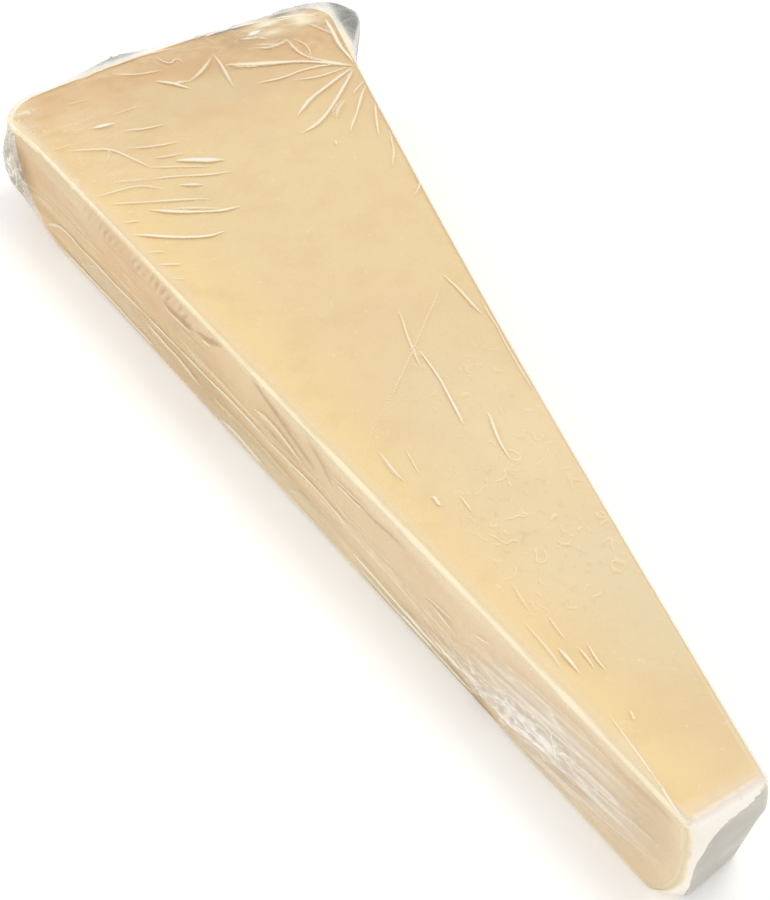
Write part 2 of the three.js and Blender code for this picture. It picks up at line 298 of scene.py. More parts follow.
def mesh_object(name, points, quads, values):
    """A smooth-shaded mesh with one number per point for each of the named values."""
    mesh = bpy.data.meshes.new(name)
    mesh.vertices.add(len(points))
    mesh.vertices.foreach_set("co", points.astype(np.float32).ravel())
    mesh.loops.add(quads.size)
    mesh.loops.foreach_set("vertex_index", quads.astype(np.int32).ravel())
    mesh.polygons.add(len(quads))
    mesh.polygons.foreach_set("loop_start", np.arange(0, quads.size, 4, dtype=np.int32))
    mesh.polygons.foreach_set("loop_total", np.full(len(quads), 4, dtype=np.int32))
    mesh.update(calc_edges=True)
    mesh.polygons.foreach_set("use_smooth", np.ones(len(quads), dtype=bool))
    for key, value in values.items():
        attribute = mesh.attributes.new(key, "FLOAT", "POINT")
        attribute.data.foreach_set("value", value.astype(np.float32).ravel())
    return new_object(name, mesh)


# Ridges and lines have these shares of their heights and of the widths in the tables. Distances
# from a crease count up to this many of its half widths, and its ends fade over a short way.
RIDGE_SCALE = 0.2
LINE_SHARE = 0.68
FAR_AWAY = 4
LEAST_RIDGE_WIDTH = 0.42
SHORTEST_FADING_CREASE = 1.2
LONGEST_FADE = 2.5

# Creases of the film. Each is a line of points on its face, then its width and its milkiness, which
# also paints a highlight along it; the milkier, the higher its ridge. The shade painted beside a
# crease lies on its side towards the viewer's lower edge.
# On the top: distance from the tip, and from the middle line towards the near side.
NEAR_FAN = [
    ((147.4, 7.5), (147.9, 10.5), (148.8, 14.6), 0.7, 0.6), ((151.4, 14.8), (151.8, 17.8), 1.7, 1.15),
    ((142, 7.3), (142.8, 11.8), (144.1, 14.9), 0.7, 0.7),
    ((148, 23.3), (146.5, 19.9), (145.1, 17.1), (141.8, 15.5), (138, 13.6), 0.7, 0.65),
    ((138, 13.6), (135.9, 9.9), (134, 5.5), 0.6, 0.6),
    ((145.2, 17.6), (143.2, 18.2), (141.6, 19.8), 0.5, 0.4),
    ((139, 8), (139.3, 10), (139.9, 12.2), 0.9, 0.55), ((134.6, 3.2), (136.2, 6.4), (137.6, 9.4), 1.7, 1.1),
    ((131.2, 2.7), (132.4, 8), (135.3, 14.3), 0.6, 0.65), ((135.3, 14.3), (137.1, 20.5), 0.5, 0.5),
    ((130.2, 8.4), (131.6, 11.3), 0.9, 0.8),
    ((132, 13.8), (134.3, 16.1), (134.8, 19.3), (134.5, 24), 0.55, 0.6),
    ((126.2, 8.6), (128.1, 12.4), (129.9, 17.4), (132.1, 22.4), 0.6, 0.6),
    ((122.4, 5.2), (122.8, 8.6), (124.6, 12.4), (127.9, 17.6), 0.75, 0.9),
    ((123.6, 8.4), (125.2, 11.2), (126.6, 14), 0.5, 0.6),
    ((118, 9.6), (117.9, 12.1), (119.9, 16.1), (123.4, 22), 0.75, 0.95),
    ((125.9, 19.9), (126.8, 22.4), 0.6, 0.6), ((117.8, 19.4), (119, 22), 0.5, 0.6),
    ((114, 18.4), (115.6, 21.6), 0.6, 0.7), ((110.4, 18.9), (111.6, 20.7), 0.5, 0.6),
    ((154.1, 9.2), (153.7, 14.3), 0.5, 0.4), ((154.6, 15), (154.2, 24), 0.4, 0.35),
    ((159.9, 15.3), (160, 20), 0.6, 0.4), ((149.3, 21.6), (149.5, 26), 0.5, 0.45),
]
FAR_FAN = [
    ((148.8, -25.2), (153.4, -19.5), (155.3, -13.9), (158.2, -8), 1.4, 0.8),
    ((155.6, -12), (158.4, -7.8), 1.7, 0.8),
    ((149.4, -25), (152.6, -21.4), (155.9, -19.2), (160.6, -19.4), 0.7, 0.6),
    ((153.4, -20.6), (157.4, -21.6), (160.4, -20.4), 0.5, 0.45),
    ((160.6, -19.4), (159.4, -16.2), (161, -13.6), 0.8, 0.5),
    ((150.2, -23.6), (151.2, -18.3), (150.3, -13.9), (151, -9.8), 0.7, 0.7),
    ((148.7, -24.6), (147.8, -19.5), (149, -15.4), 0.6, 0.65),
    ((148, -25), (144.9, -19.5), (142.8, -15.4), (139.7, -11.8), 0.8, 0.85),
    ((147.4, -25), (141.5, -20.1), (136.5, -14.5), (134.8, -10.2), 0.75, 0.85),
    ((139.9, -20.3), (138.4, -18.4), (136.4, -17.1), 1, 0.5),
    ((142, -24.8), (136.5, -20.8), (132, -17.2), 0.7, 0.75), ((143.6, -25.3), (141, -22.2), 0.6, 0.7),
    ((137, -24), (133, -22.2), (129, -20.5), 0.6, 0.7),
    ((129, -22.6), (124.6, -21.1), (120.6, -19.1), 0.6, 0.55),
    ((116.4, -21), (114, -20.4), (112.4, -18.6), 0.7, 0.6), ((130.9, -14.1), (129.7, -13.7), 0.5, 0.6),
]
RIND_CREASES = [
    ((162.4, -6.7), (157, -6.6), (152, -6), 0.9, 0.6), ((161.8, -6), (158.1, -2.6), (157, -0.6), 1.1, 0.6),
    ((155.2, 0.2), (157.4, 1.8), (159.6, 4.4), 1.2, 0.75), ((157, -0.6), (157.8, 2), (156.4, 1), 0.9, 0.5),
    ((162.3, -1.6), (164.6, -1.1), (162.8, 0.6), (166.6, 2.1), 0.6, 0.55),
    ((162.1, 2.2), (162.8, 6.8), (164.8, 9.9), 0.8, 0.5), ((163.4, -16.6), (163.9, -13), 0.5, 0.5),
    ((161.8, -13.8), (159.8, -18), 0.6, 0.45), ((165.6, -22.4), (162, -25), (158.4, -26.4), 0.7, 0.5),
    ((168, -8), (168.6, -11.5), (168.3, -15), (167.9, -18.5), 1.1, 1.2),
    ((166.9, -16), (166.9, -20), (166.2, -23.5), 0.9, 0.8),
    ((167.6, -20.4), (166.4, -24.4), (164.6, -26.6), 1, 1.1), ((165.3, -16.4), (164.9, -14), 1.5, 1.25),
    ((164.4, -12.6), (163.4, -15.6), (162.4, -16.4), 0.8, 0.8),
    ((161, -13.2), (159.3, -17), (160.2, -19.4), 0.6, 0.6),
    ((163.4, -27.6), (159.2, -26.9), (155.8, -26.6), (149.4, -25.9), 0.9, 0.85),
    ((167.2, -2), (167.8, 3.4), (167.2, 9.4), (165.8, 16), 0.7, 0.6),
]
TOP_CREASES = [
    ((94.4, -14), (89, -14.4), (84, -14.9), 0.6, 0.75),
    ((92.2, -12.4), (84.4, -5.8), (80.6, -2), (73.4, 5.5), 0.32, 0.4), ((73.4, 5.5), (65, 13.3), 0.3, 0.2),
    ((90, -4.7), (87, -4.2), (84.2, -3.5), (78, -2.2), 0.6, 0.6),
    ((80.8, -3.6), (75, -3.4), (71.3, -2.9), (65.6, -2.2), 0.6, 0.95),
    ((66, -5.9), (62.5, -5.1), (57, -4.4), 0.55, 0.85),
    ((87, -16.4), (77.5, -14.4), (65.6, -13.3), 0.4, 0.5), ((65, 6.8), (60.2, 6.9), 0.45, 0.6),
    ((66.4, 10.1), (63, 9.9), (60, 9.2), 0.6, 0.6), ((54.2, 4.4), (51.2, 4.4), 0.5, 0.6),
    ((55.2, 7.4), (54.6, 7.4), 0.6, 0.8), ((38.2, 5.8), (33.6, 5.9), 0.45, 0.35),
    ((32, 4.3), (28, 4.3), 0.45, 0.55), ((32.4, 7.2), (28, 6.8), (24.2, 6.9), 0.5, 0.5),
    ((27.3, 5.7), (23.2, 5.4), 0.6, 0.9), ((26.4, 3.6), (23, 3.5), 0.5, 0.8),
    ((26.5, 2.4), (24, 2.7), (22, 2.4), 0.5, 0.8), ((15.3, 3.1), (14.9, 3.2), 0.5, 0.6),
    ((16.4, 5.4), (9.5, 5.3), (5.6, 5.3), 0.4, 0.8), ((8, 5.3), (3, 5.4), (-0.8, 5.3), 0.75, 0.8),
]

# On the near side: distance from the tip, and height. A negative milkiness is a dark fold, its darkness
# painted shade.
NEAR_SIDE_CREASES = [
    ((152, 3.4), (146, 6.4), (138, 6), (130, 6.3), (120, 6.9), 1, 0.5),
    ((120, 6.9), (110, 7.2), (100, 7.6), (95, 8), (86, 8.1), 0.8, 0.7),
    ((86, 8), (77, 8.5), (72, 8.6), (64, 7.8), 0.7, 0.65),
    ((64, 7.8), (58, 7.2), (52, 7), (45, 5.8), 0.5, 0.55), ((120, 5.2), (112, 4.9), (104, 4.2), 1.6, 0.5),
    ((126, 4.6), (118, 3.8), (109, 3), 1.1, -0.6), ((139, 3), (136, 5), (133, 5.8), 0.5, 0.35),
    ((148, 1.2), (136, 1.4), (118, 1.6), 1.2, 0.6), ((99, 1.4), (94, 1.9), (86, 1.5), 2, 0.6),
    ((107, 6.4), (96, 5.6), (86, 5.4), (80, 6.4), 1.8, -0.4),
    ((113, 14.1), (108, 14.3), (103.6, 14.8), 0.7, -0.8), ((112.4, 13.3), (105, 13.7), 0.7, 0.5),
    ((103.4, 15), (99, 16.3), (95.6, 17.6), 0.7, -0.8), ((101.4, 14.8), (98.6, 15.6), 0.7, 0.5),
    ((88.4, 17.6), (84, 16), (80, 15), (76, 13.5), (72.8, 12.2), 0.9, -0.8),
    ((86.6, 17.6), (82, 15.9), (78, 14.9), (74, 13.2), 0.4, 0.35),
    ((88, 11.6), (84, 12.4), (80, 12), (76, 10.6), 1.3, 0.45),
    ((86, 10.4), (80, 10.1), (75.6, 10), 0.5, -0.7), ((74.6, 17.4), (70.6, 15), (68.6, 12.4), 0.8, -0.6),
    ((71.9, 16.8), (69.8, 15), (68, 12.8), 0.4, 0.35),
    ((68.6, 14.8), (64.4, 14.9), (61.6, 15.5), 0.45, 0.6),
    ((68.2, 14), (64, 14.1), (60.4, 14.6), 0.45, 0.6), ((68.4, 14.4), (63.6, 14.5), (52, 15), 0.4, -0.7),
    ((68.2, 10), (66, 9.5), (64.4, 9.3), 0.5, 0.5), ((82.4, 2), (79, 3.8), (75.8, 4.8), (75, 3), 0.7, -0.8),
    ((81, 2.6), (77.6, 3.4), 1.2, 0.5), ((74.4, 2.8), (70, 2.4), (66, 2), 0.8, -0.7),
    ((64.6, 3.8), (55, 3.2), (44, 2.9), 1.5, 0.75),
    ((64, 2.4), (54, 2.4), (44, 2.2), (34.4, 2), 0.45, -1.1), ((63, 1.9), (50, 1.7), (38, 1.5), 0.7, 0.9),
    ((64.4, 0.9), (55, 1), (44, 0.9), (32.6, 0.8), 0.7, -1.6),
    ((48.2, 10.4), (46, 11), (41.6, 11.5), 0.45, 0.6), ((46.8, 9.8), (44, 9.5), (41.4, 9.4), 0.45, 0.6),
    ((48.4, 10), (45, 10.3), (41.8, 10.4), 0.4, -0.7), ((36.4, 8.9), (32.4, 8.8), 0.5, 0.5),
    ((38.2, 12.8), (34, 14.2), 0.7, 0.45), ((30, 6), (25, 6.2), (20.6, 5), (16, 6.3), (11, 8.1), 0.5, -0.8),
    ((29.6, 3.2), (24, 4.6), (19, 4.4), (12.6, 6.2), 0.8, -0.7),
    ((24, 5.4), (20, 4.6), (15, 5.6), (11.4, 6.8), 0.45, 0.7), ((30, 3.9), (25.6, 5.2), 1, 0.9),
    ((27, 2.6), (22, 3), (15, 3.4), 0.7, 0.5), ((24.6, 10.6), (22.8, 10), (22, 7.6), (20.4, 5.2), 0.7, 0.8),
    ((21.6, 7.6), (20.2, 9.4), (18.8, 9), 0.7, 0.9), ((26.2, 7.8), (27.4, 6.8), 1.6, -0.5),
    ((35, 11.4), (29, 12.5), (24, 12.9), (17, 12.4), 1.5, 0.38),
    ((20.4, 11.4), (16, 12), (11.6, 12.2), 1, 0.4), ((29, 11.4), (26.8, 10.6), (24.6, 10.3), 0.6, 0.7),
    ((34, 3.2), (30, 3.6), (26, 4.8), (22, 5.8), 1.4, 1.1), ((10.4, 15.8), (9.6, 14.4), 0.4, 0.4),
    ((13.6, 15.4), (8, 16), (1.4, 16.6), 0.7, -0.5),
]


def rounded(line):
    """A line with its bends cut into curves; its ends stay."""
    line = np.array(line, float)
    for _ in range(2):
        steps = np.diff(line, axis=0)
        cuts = np.stack([line[:-1] + 0.25 * steps, line[:-1] + 0.75 * steps], axis=1).reshape(-1, 2)
        line = np.concatenate([line[:1], cuts[1:-1], line[-1:]])
    return line


def crease_fields(place, creases, shade_direction, seed):
    """Ridge height that a face's creases give at its points, and for the nearest crease: how many
    whole half widths away it lies, its tone and the signed distance across it, towards its shade.

    place is an array of the points' two coordinates on the face."""
    shape = place.shape[:-1]
    height, tone, across = np.zeros((3, *shape))
    nearest = np.full(shape, FAR_AWAY, int)
    wobble = at(noise(place / 5, seed), noise(place / 5, seed + 1))
    swell = 1 + 0.4 * noise(place / 3.4, seed + 2)
    for *line, width, milky_and_glinting in creases:
        ridge = math.copysign(0.15 + 0.2 * abs(milky_and_glinting), milky_and_glinting)
        line = rounded(line)
        reach = 3 * width + 0.5
        inside = np.all((place > line.min(0) - reach) & (place < line.max(0) + reach), axis=-1)
        points = (place + 0.25 * wobble)[inside]
        if not len(points):
            continue
        lengths = np.hypot(*np.diff(line, axis=0).T)
        total = lengths.sum()
        best = np.full(len(points), 1e9)
        side, share = np.zeros((2, len(points)))
        run = 0
        for start, finish, length in zip(line, line[1:], lengths):
            direction = (finish - start) / length
            way_over = np.array([-direction[1], direction[0]])
            if way_over @ shade_direction < 0:
                way_over = -way_over
            rel = points - start
            t = np.clip(rel @ direction, 0, length)
            distance = np.hypot(*(rel - t[:, None] * direction).T)
            closer = distance < best
            best = np.where(closer, distance, best)
            side = np.where(closer, rel @ way_over, side)
            share = np.where(closer, (run + t) / total, share)
            run += length
        fade = min(total * 0.35, LONGEST_FADE)
        end_fade = unit(np.minimum(share, 1 - share) * total / fade) ** 0.6
        if total < SHORTEST_FADING_CREASE:
            end_fade = np.ones(len(points))
        half = LINE_SHARE * width / 2 * swell[inside] * (0.25 + 0.75 * end_fade)
        ridge_here = gauss(best, np.maximum(1.2 * half, LEAST_RIDGE_WIDTH)) * end_fade * ridge * RIDGE_SCALE
        height[inside] = np.where(np.abs(ridge_here) > np.abs(height[inside]), ridge_here, height[inside])
        closer = best / half < nearest[inside]
        nearest[inside] = np.where(closer, best / half, nearest[inside])
        tone[inside] = np.where(closer, milky_and_glinting * (0.45 + 0.55 * end_fade), tone[inside])
        across[inside] = np.where(closer, np.clip(side / half, -FAR_AWAY, FAR_AWAY), across[inside])
    return height, nearest, tone, across


def fan(centre, angles, lengths, width, milk_and_glint, start=1.0):
    """Straight creases that spread from a point, at angles in degrees."""
    made = []
    for angle, length in zip(angles, lengths):
        way = np.array([math.cos(math.radians(angle)), math.sin(math.radians(angle))])
        first, last = np.array(centre) + start * way, np.array(centre) + length * way
        bend = (last - first)[::-1] * (0.06, -0.06) * math.sin(3 * angle)
        made.append((first, (first + last) / 2 + bend, last, width, milk_and_glint))
    return made


# On the far side, which the first view doesn't show: distance from the tip, and height
FAR_SIDE_CREASES = [
    ((150, 4), (134, 5.4), (108, 6.8), 0.6, 0.45), ((112, 5.6), (92, 4.7), (70, 5), 0.45, 0.4),
    ((66, 4.6), (48, 6.2), (30, 6.6), 0.36, 0.4), ((84, 2.4), (52, 2), (24, 2.6), 0.36, -0.5),
    ((98, 17.6), (90, 14.8), (83, 11), 0.5, 0.4), ((62, 17.4), (57, 15), (54, 12), 0.45, 0.4),
    ((38, 1), (31, 4), (27, 8.4), 0.4, 0.4), ((138, 1), (128, 3.4), (121, 8), 0.45, 0.4),
    ((16, 3), (10, 8), (6, 15), 0.36, 0.35),
    *fan((158, 17), (186, 195, 205, 219), (30, 23, 17, 12), 0.32, 0.45, start=3),
    *[((u, 17.8), (u - 1.4, 15.9), 0.4, 0.4) for u in (128, 122, 117, 109, 104, 76, 71, 47, 42, 24)],
]
# On the rind end: distance from the middle line, and height. Two long folds close the end
RIND_END_CREASES = [
    ((24, 16.8), (17, 15.6), (9, 13.2), (3, 9.8), 0.48, 0.51),
    ((-23, 16.9), (-15, 15), (-8, 12.6), (-2, 8.8), 0.48, 0.51),
    ((22, 15.6), (14, 14), (8, 11.8), (2.4, 8.8), 0.3, -0.42),
    ((-21, 15.8), (-14, 13.6), (-7, 11.4), (-1.6, 7.8), 0.3, -0.42),
    ((21, 6.2), (14, 6.8), (6, 9.2), 0.36, 0.42), ((-22, 5.4), (-13, 6.6), (-5, 8.4), 0.36, 0.42),
    ((4, 10.6), (-1, 10.2), (-7, 10.3), 0.3, 0.51),
    ((25, 2.8), (10, 4.4), (-6, 3.8), (-25, 2.6), 0.36, 0.38),
    ((14, 5.2), (2, 5.9), (-14, 5.1), 0.3, -0.34),
    *fan((5, 9.4), (18, 34, 52, 70, 88, 106, 128), (11, 7, 8.4, 5.6, 7.4, 5, 8), 0.28, 0.4),
    *fan((-4, 9), (172, 156, 138, 118, 100, 206, 224), (11, 7, 9, 5.8, 7.2, 9, 5), 0.28, 0.4),
    *fan((25, 12), (158, 176, 190, 208, 226), (9, 6, 8, 7, 5), 0.28, 0.38),
    *fan((-25, 12), (22, 6, -10, -28, -46), (8, 6, 9, 7, 5), 0.28, 0.38),
]
# On the tip's end
TIP_CREASES = [
    ((3.6, 2.4), (4.6, 8), (4.6, 12.4), (4, 14), (3.4, 15.6), (1.8, 16.9), (-3.8, 17.9), 0.5, 0.5),
    ((3, 1.6), (0, 2.4), (-4, 1.8), 0.5, 0.5), ((-2.6, 10.4), (-4.6, 6.4), 0.4, 0.3),
]
# Under the wedge: the film's two edges overlap along the middle, and pleats come in from the rim
UNDER_CREASES = [
    ((12, 1), (50, 2.6), (95, 0.6), (140, 3), (158, 2), 0.9, 0.8),
    ((12, -1.6), (55, -0.8), (100, -3.2), (150, -2.6), 0.6, -0.8),
    ((24, 4.4), (60, 6), (88, 4.8), 0.5, 0.4), ((96, -7), (126, -9.4), (148, -8), 0.5, 0.4),
    *fan((158, 24), (195, 210, 222, 240, 256), (26, 21, 18, 16, 14), 0.8, 0.6),
    *fan((157, -24), (165, 152, 140, 124, 106), (25, 20, 17, 16, 14), 0.8, 0.6),
    *fan((6, 0), (12, -8, 26, -24), (18, 20, 14, 13), 0.5, 0.5, start=3),
]

# Each face of the pack: the part of the normal that picks it, its two coordinates, its creases,
# the side of a crease that lies in shade, and a seed
UP, DOWN = (0, 0, 1), (0, 0, -1)
FACES = {
    "top": (UP, (0, 1), NEAR_FAN + FAR_FAN + RIND_CREASES + TOP_CREASES, (-0.88, 0.47), 11),
    "under": (DOWN, (0, 1), UNDER_CREASES, (0, 1), 21),
    "near": ((0, 1, 0), (0, 2), NEAR_SIDE_CREASES, (0, -1), 31),
    "far": ((0, -1, 0), (0, 2), FAR_SIDE_CREASES, (0, -1), 41),
    "rind": ((1, 0, 0), (1, 2), RIND_END_CREASES, (0, -1), 51),
    "tip": ((-1, 0, 0), (1, 2), TIP_CREASES, (0, -1), 61),
}


def zone(x, y, centre, reach):
    """1 in the middle of an oval and falling softly to 0 around it."""
    return np.exp(-(((x - centre[0]) / reach[0]) ** 2 + ((y - centre[1]) / reach[1]) ** 2) ** 2)


def zones(x, y, *ovals):
    """The sum of such ovals, each with its strength, centre and reach."""
    return sum(strength * zone(x, y, centre, reach) for strength, centre, reach in ovals)


def top_texture(u, v):
    """Fine pleats, crumples and clinging marks on the top: height, milkiness and shade. The milkiness of
    the pleats and crumples is partly painted highlight, and the shade in the crumples is painted.
    """
    near_fan = zones(u, v, (1, (131, 15), (27, 11)), (0.5, (154, 18), (9, 12)))
    pleats = ridges(at((u + 0.34 * v) / 1.5, v / 9), 71)
    edge = gauss(v - half_width(u) + 1.5, 4) * smooth(u, 84, 120)
    specks = unit(noise(at(u / 0.9, v / 0.5), 72) - 0.55) * 2.2
    rim = ((1, (164, -23), (9, 13)), (0.8, (167, -8), (5, 12)), (0.7, (166.5, 10), (3.5, 16)))
    corner = unit(zones(u, v, *rim))
    crumple = ridges(at(u / 3.2, v / 4.4), 73, 3) ** 5
    far_edge = gauss(v + half_width(u) - 1.2, 1.8) * smooth(u, 60, 90)
    sheets = clouds(at(u / 16, v / 11), 75)
    height = 0.05 * near_fan * pleats**4 + 0.28 * corner * crumple + 0.05 * sheets
    milk_and_glint = 0.16 * near_fan * pleats**6 + 0.35 * corner * crumple
    milk_and_glint = milk_and_glint + 0.4 * specks * (edge + far_edge)
    uneven = 0.75 + 0.5 * noise(at(u / 1.4, v / 3), 77)
    hazy = ((0.75, (165.5, -21), (3.5, 7)), (0.5, (159, 27.5), (9, 4)), (0.3, (146, 18.5), (15, 6)))
    milk_and_glint = milk_and_glint + uneven * (zones(u, v, *hazy) + 0.12 * smooth(u, 158, 164))
    shade = 0.35 * corner * ridges(at(u / 3, v / 4), 76, 3) ** 6
    return height, milk_and_glint, shade


def long_lines(u, z, seed, length, spacing, width):
    """Thin wavering lines along a side, 1 on a line."""
    drift = noise(at(u / 40, z / 7), seed)
    level = clouds(at(u / length, (z + 0.9 * drift) / spacing), seed + 1, 2)
    strong = smooth(noise(at(u / 14, z / 1.6), seed + 2), -0.2, 0.6)
    return (1 - smooth(np.abs(level), width * 0.4, width)) * strong


def side_texture(u, z, seed, lively):
    """Long streaks of clinging and bridging film on a cut side: light lines that are partly painted
    highlight, and dark lines and bands of painted shade.
    """
    low = smooth(THICKNESS - z, 4, 13)
    calm = 1 - 0.8 * smooth(12 - u, 0, 10)
    amount = lively * calm * (0.25 + 0.75 * low)
    light = long_lines(u, z, seed, 60, 2.4, 0.1)
    fine = long_lines(u, z, seed + 10, 45, 1.4, 0.1)
    dark = long_lines(u, z + 0.3, seed, 60, 2.4, 0.12)
    bands = noise(at(u / 26, (z + 0.02 * u) / 2.2), seed + 20)
    height = amount * (0.13 * light + 0.07 * fine + 0.1 * bands)
    milk_and_glint = amount * (0.7 * light + 0.5 * fine + 0.2 * unit(bands))
    shade = amount * (0.45 * dark + 0.32 * unit(-bands)) * (1 - 0.6 * zone(u, z, (60, 5), (17, 8)))
    return height, milk_and_glint, shade


PUCKER_HEIGHT = 16.1
PUCKER_SPACING = 1.35


def edge_puckers(u, z):
    """Small slanting puckers under the near top edge: height, a painted highlight on their crests and
    painted shade in their troughs.
    """
    inside = gauss(z - PUCKER_HEIGHT, 1.3) * smooth(u, 101, 107) * smooth(u, 141, 132)
    inside = inside * (0.7 + 0.6 * noise(at(u / 2.6, z / 5), 86))
    bend = 0.35 * clouds(at(u / 5, z / 3), 87)
    wave = np.sin(2 * math.pi * ((0.8 * u + 0.6 * z) / PUCKER_SPACING + bend))
    milk_and_glint = 0.3 * inside * unit(wave) ** 3
    shade = 0.6 * inside * unit(-wave) ** 1.5
    return 0.05 * inside * wave, milk_and_glint, shade


# The silvery crumple rises this much for each millimetre towards the tip
SILVER_SLOPE = 0.15


def silver_crumple(u, z):
    """The loose, silvery crumple low on the near side, close to the tip. Its silvery look is partly painted
    glints on the folds, cells and specks, with painted shade in its hollows.
    """
    slanting = z + SILVER_SLOPE * (u - 29)
    inside = gauss(u - 28, 17) * gauss(slanting - 6.4, 4.4) * smooth(z, 0.6, 2.2)
    veil = zone(u, z + 0.1 * (u - 26), (22, 8), (19, 8.4))
    patches_of_it = smooth(clouds(at(u / 3.4, slanting / 1.6), 83), -0.5, 0.3)
    specks = unit(noise(at(u / 1.1, z / 0.6), 85) - 0.3) * gauss(slanting - 7.4, 4.6)
    folds = ridges(at(u / 6, slanting / 1.3), 81, 2)
    cells = ridges(at(u / 1.9, z / 2.2), 84, 2)
    hollows = ridges(at(u / 6, slanting / 1.5 + 5.3), 82, 2)
    height = inside * (0.4 * folds**3 + 0.25 * patches_of_it * cells**3 - 0.12 * hollows**3)
    milk_and_glint = inside * (0.62 + 0.7 * folds**5 + 0.9 * patches_of_it * cells**6 + 0.8 * specks)
    streaks = ridges(at(u / 13, slanting / 1.4), 80, 2)
    milk_and_glint = np.maximum(milk_and_glint, veil * (0.36 + 0.6 * streaks**2.5))
    shade = 0.5 * inside * hollows**6
    return height, milk_and_glint, shade, np.maximum(inside, 0.8 * veil)


def loose_folds(u, v, z):
    """Long folds of the loose film: upright at the near corner, else level with the cheese's edge. Their
    glints and glitter are painted highlights, and their hollows and gloom painted shade.
    """
    around = (u - np.abs(v)) / 1.4
    outward = (u + np.abs(v)) / 1.4 - z
    near_corner = smooth(v, 14, 20)
    along = blend(around / 9, z / 9, near_corner)
    over = blend(outward / 2.4, around / 1.7, near_corner)
    over = over + 1.2 * clouds(at(along * 1.5, over / 3), 90)
    folds = ridges(at(along, over), 91, 2)
    glints = ridges(at(along * 1.8, over * 1.9), 92, 1)
    hollows = ridges(at(along * 1.5, over * 1.3 + 7), 94, 1)
    spot = at(u / 1.2, v / 1.2, z / 2.2)
    glitter, gloom = near_corner * ridges(spot, 98, 2), near_corner * ridges(spot + 5.5, 98, 2)
    far_side = smooth(-v, 10, 20)
    milk_and_glint = (1.25 * glints**9 + 0.3 * folds**6) * (1 - 0.4 * far_side) + 0.22 * near_corner
    milk_and_glint = milk_and_glint + 2.6 * glitter**5
    shade = np.maximum(hollows**5 * (1 - 0.4 * far_side), 1.1 * gloom**5)
    return 0.55 * folds**2 - 0.25, milk_and_glint, shade


def near_haze(u, z):
    """Hazy places on the near side, and places darkened with painted shade: milkiness and shade."""
    hazy = (
        (0.28, (56, 9.5), (15, 5.5)), (0.4, (130, 3.4), (18, 2.7)), (0.14, (84, 4), (30, 4)),
        (0.4, (165, 9), (7, 12)), (0.4, (68, 2), (38, 2.6)), (0.3, (144, 17), (14, 2.2)),
    )
    rough = 0.75 + 0.5 * noise(at(u / 1.8, z / 0.7), 88)
    haze = zones(u, z, *hazy) + 0.3 * rough * zone(u, z, (78, 8), (38, 1))
    return haze, zones(u, z, (0.35, (98, 3.6), (18, 3.4)), (0.25, (6, 12), (6, 6)))


def slackness(u, v, z, up, outside):
    """1 where the film hangs free of the cheese, 0 where it clings to it."""
    over_cheese = smooth(up, 0.5, 0.95) * (1 - smooth(outside, -0.3, 0.9))
    slack = smooth(loose_film(u, v, z), 0.3, 2.6) * (1 - over_cheese)
    rind_rim = np.hypot(u - rind_line(v) + RIND_TOP_SET_BACK + 0.8, 0.6 * (THICKNESS - z))
    over_wall = (1 - smooth(up, 0.5, 0.9)) * (1 - smooth(v, 8, 22))
    slack = slack * (1 - 0.65 * over_wall)
    patchy = smooth(clouds(at(v / 4, u / 3), 97), -0.5, 0.2)
    return np.maximum(slack, 0.8 * gauss(rind_rim, 1.3) * smooth(-v, 1, 9) * patchy)


def laid_over(relief, share, layer):
    """Height, milkiness with its painted highlights, and painted shade, with a share of a layer's: the
    heights' sum, the larger others.
    """
    height, milk_and_glint, shade = relief
    more_height, more_milk_and_glint, more_shade = layer
    milk_and_glint = np.maximum(milk_and_glint, share * more_milk_and_glint)
    return height + share * more_height, milk_and_glint, np.maximum(shade, share * more_shade)


def film_relief(points, normals):
    """What lifts the film at points of its base form, and the values that its material reads."""
    u, v, z = np.moveaxis(points, -1, 0)
    up = normals[..., 2]
    outside = np.maximum(np.abs(v) - half_width(u), u - rind_line(v) + RIND_TOP_SET_BACK)
    slack = slackness(u, v, z, up, outside)
    tone, across, *relief = np.zeros((5, *u.shape))
    nearest = np.full(u.shape, FAR_AWAY)
    frost = smooth(3.4 - u, 0, 1.2) * (1 - smooth(np.abs(normals[..., 1]), 0.6, 0.95))
    for face, (pick, axes, creases, shade_direction, seed) in FACES.items():
        weight = smooth(normals @ pick, 0.3, 0.8)
        if not weight.any():
            continue
        place = points[..., list(axes)]
        fields = []
        if face == "top":
            fields.append(top_texture(u, v))
        elif face in ("near", "far", "rind"):
            lively = {"near": 1, "far": 0.5, "rind": 0.7}[face]
            fields.append(side_texture(place[..., 0], z, seed + 5, lively))
        if face == "near":
            *crumple_fields, silver = silver_crumple(u, z)
            fields += [crumple_fields, edge_puckers(u, z), (0, *near_haze(u, z))]
            frost = np.maximum(frost, silver * weight)
        lift, distance, face_tone, over = crease_fields(place, creases, shade_direction, seed)
        fields.append((-np.abs(lift) if face == "under" else lift, 0, 0))
        for layer in fields:
            relief = laid_over(relief, weight, layer)
        closer = (weight > 0) & (distance < nearest)
        nearest = np.where(closer, distance, nearest)
        tone = np.where(closer, face_tone * weight, tone)
        across = np.where(closer, over, across)
    height, milk_and_glint, shade = laid_over(relief, slack, loose_folds(u, v, z))
    # Painted shade: a grey band in the loose film beside the cheese, darker on the far side and over the
    # top, lighter at the near corner
    band_shade = 0.4 + 0.25 * smooth(-v, 14, 22) - 0.35 * smooth(v, 16, 22)
    band_shade = band_shade + 0.4 * smooth(-v, 14, 20) * smooth(up, 0.3, 0.8)
    shade = np.maximum(shade, slack * gauss(outside - 2.2, 2.2) * band_shade)
    on_top = smooth(up, 0.7, 0.95)
    marks = zones(u, v, (1, (44, -2), (15, 8)), (0.5, (66, -7), (14, 9))) + 0.14
    return height, {
        "milk_and_glint": milk_and_glint, "shade": shade, "slack": slack, "cling": on_top * unit(marks),
        "crease": nearest, "crease_tone": tone, "crease_side": across, "frost": frost,
    }


